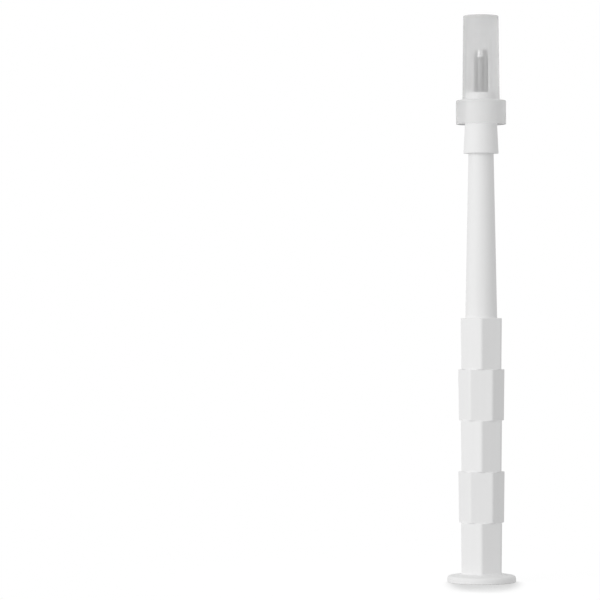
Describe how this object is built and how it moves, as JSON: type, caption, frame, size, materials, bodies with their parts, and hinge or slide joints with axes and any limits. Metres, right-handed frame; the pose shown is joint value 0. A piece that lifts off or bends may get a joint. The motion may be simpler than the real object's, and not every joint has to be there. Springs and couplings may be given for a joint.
{
  "type": "biopsy punch",
  "caption": "Disposable biopsy punch: a white handle with a round thumb flange, hexagonal grip and tapered rod, a tubular steel cutting blade and a translucent pull-off cap.",
  "frame": {"origin": "centre of the thumb flange's flat face, on which the punch stands", "axes": "+Z along the punch's axis from the thumb flange to the cap; -Y is the side that the picture shows"},
  "size_m": [0.0166, 0.0166, 0.1365],
  "materials": {
    "white_plastic": "fine satin moulding",
    "blade_steel": "drawn tube, ground bevel",
    "milky_plastic": "translucent satin moulding"
  },
  "bodies": {
    "handle": {"handle": "white_plastic", "blade": "blade_steel"},
    "cap": {"protective_cap": "milky_plastic"}
  },
  "joints": [
    {"name": "cap_pull", "type": "slide", "parent": "handle", "child": "cap", "axis": [0, 0, 1], "range_m": [0, 0.024]}
  ]
}
